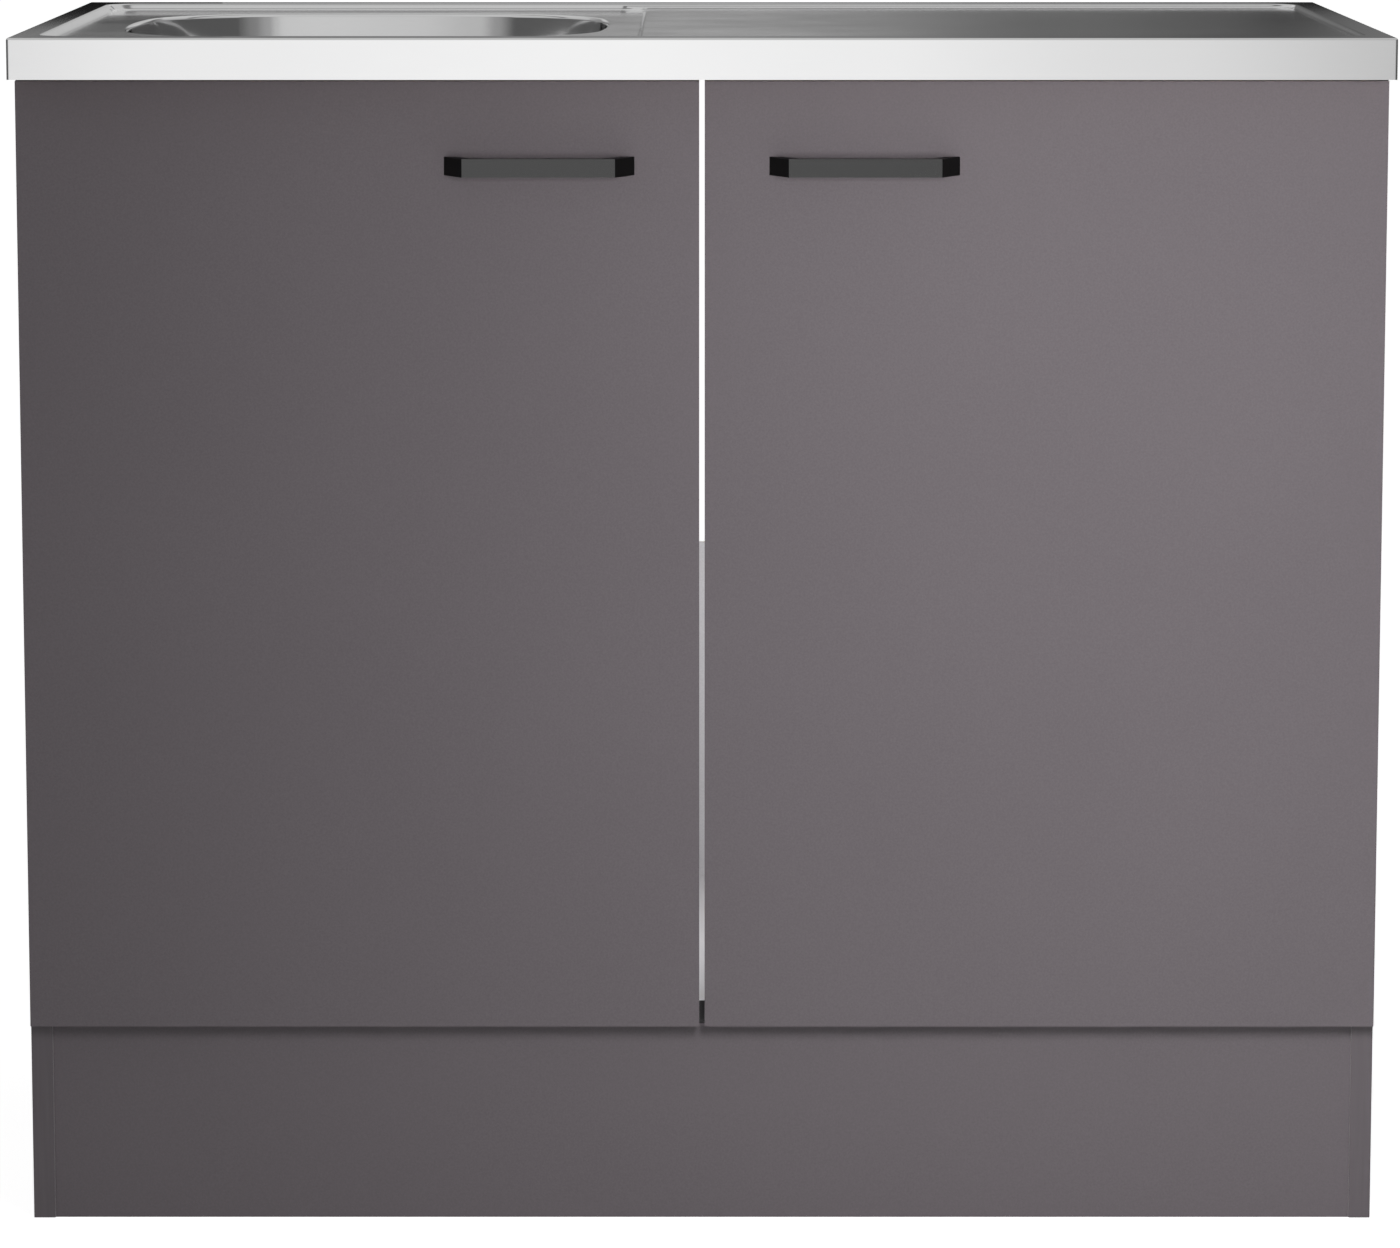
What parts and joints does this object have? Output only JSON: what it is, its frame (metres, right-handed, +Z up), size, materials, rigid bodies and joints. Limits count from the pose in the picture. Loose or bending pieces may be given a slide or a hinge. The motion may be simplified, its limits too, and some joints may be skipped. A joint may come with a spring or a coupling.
{
  "type": "kitchen sink unit",
  "caption": "Free-standing kitchen base cabinet with a lay-on stainless sink, bowl at the left and drainer at the right, hinged doors with bow handles and a plinth.",
  "frame": {"origin": "on the floor, under the middle of the unit's width and depth", "axes": "+X to the right as seen from the front, +Y to the back, +Z up"},
  "size_m": [1, 0.6, 0.883],
  "materials": {
    "anthracite_board": "matt melamine-faced chipboard, fine texture",
    "back_board": "thin lacquered hardboard",
    "stainless": "brushed stainless sheet",
    "raw_chipboard": "raw chipboard",
    "handle_black": "satin black powder coat",
    "zinc": "zinc-plated steel",
    "nickel": "nickel-plated steel",
    "die_cast": "zinc die casting",
    "beech": "fluted beech dowel",
    "clear_rubber": "translucent soft disc",
    "grey_rubber": "moulded sealing ring",
    "white_plastic": "white polypropylene",
    "grey_plastic": "grey polypropylene"
  },
  "bodies": {
    "root": {"angle_brackets": "zinc", "back_panel": "back_board", "bottom_panel": "anthracite_board", "bracket_screws": "zinc", "cam_bolts": "zinc", "cam_discs": "die_cast", "deck_front_batten": "raw_chipboard", "deck_front_rail": "raw_chipboard", "deck_middle_rail": "raw_chipboard", "deck_rear_batten": "raw_chipboard", "drainer_backing_board": "raw_chipboard", "left_deck_side_batten": "raw_chipboard", "left_hinge_arms": "nickel", "left_hinge_plate_screws": "zinc", "left_hinge_plates": "nickel", "left_side_panel": "anthracite_board", "overflow_cover": "stainless", "overflow_gasket": "grey_rubber", "overflow_head": "white_plastic", "overflow_pipe": "grey_plastic", "overflow_screw": "nickel", "plinth_panel": "anthracite_board", "right_deck_side_batten": "raw_chipboard", "right_hinge_arms": "nickel", "right_hinge_plate_screws": "zinc", "right_hinge_plates": "nickel", "right_side_panel": "anthracite_board", "sink_bowl": "stainless", "sink_deck": "stainless", "strainer_flange": "stainless", "trap_bend": "white_plastic", "trap_inlet_pipe": "white_plastic", "trap_nuts": "white_plastic", "trap_outlet_arm": "white_plastic", "waste_body": "white_plastic", "waste_gaskets": "grey_rubber", "waste_screw": "nickel", "wood_dowels": "beech"},
    "left_door": {"left_door": "anthracite_board", "left_handle": "handle_black", "left_handle_screws": "zinc", "left_door_bumpers": "clear_rubber", "left_hinge_cups": "nickel", "left_hinge_cup_screws": "zinc"},
    "left_hinge_link": {"left_hinge_links": "nickel"},
    "right_door": {"right_door": "anthracite_board", "right_handle": "handle_black", "right_handle_screws": "zinc", "right_door_bumpers": "clear_rubber", "right_hinge_cups": "nickel", "right_hinge_cup_screws": "zinc"},
    "right_hinge_link": {"right_hinge_links": "nickel"},
    "strainer_basket": {"strainer_basket": "stainless"}
  },
  "joints": [
    {"name": "left_door_hinge", "type": "hinge", "parent": "root", "child": "left_door", "pos_m": [-0.4935, -0.257, 0.5], "axis": [0, 0, -1], "range_deg": [0, 110]},
    {"name": "left_link_turn", "type": "hinge", "parent": "root", "child": "left_hinge_link", "pos_m": [-0.4655, -0.25287, 0.5], "axis": [0, 0, -1], "range_deg": [-44, 0]},
    {"name": "right_door_hinge", "type": "hinge", "parent": "root", "child": "right_door", "pos_m": [0.4935, -0.257, 0.5], "axis": [0, 0, 1], "range_deg": [0, 110]},
    {"name": "right_link_turn", "type": "hinge", "parent": "root", "child": "right_hinge_link", "pos_m": [0.4655, -0.25287, 0.5], "axis": [0, 0, 1], "range_deg": [-44, 0]},
    {"name": "basket_lift", "type": "slide", "parent": "root", "child": "strainer_basket", "axis": [0, 0, 1], "range_m": [0, 0.12]}
  ],
  "couplings": [
    {"joint": "left_link_turn", "follows": "left_door_hinge", "ratio": -0.38384},
    {"joint": "right_link_turn", "follows": "right_door_hinge", "ratio": -0.38384}
  ]
}
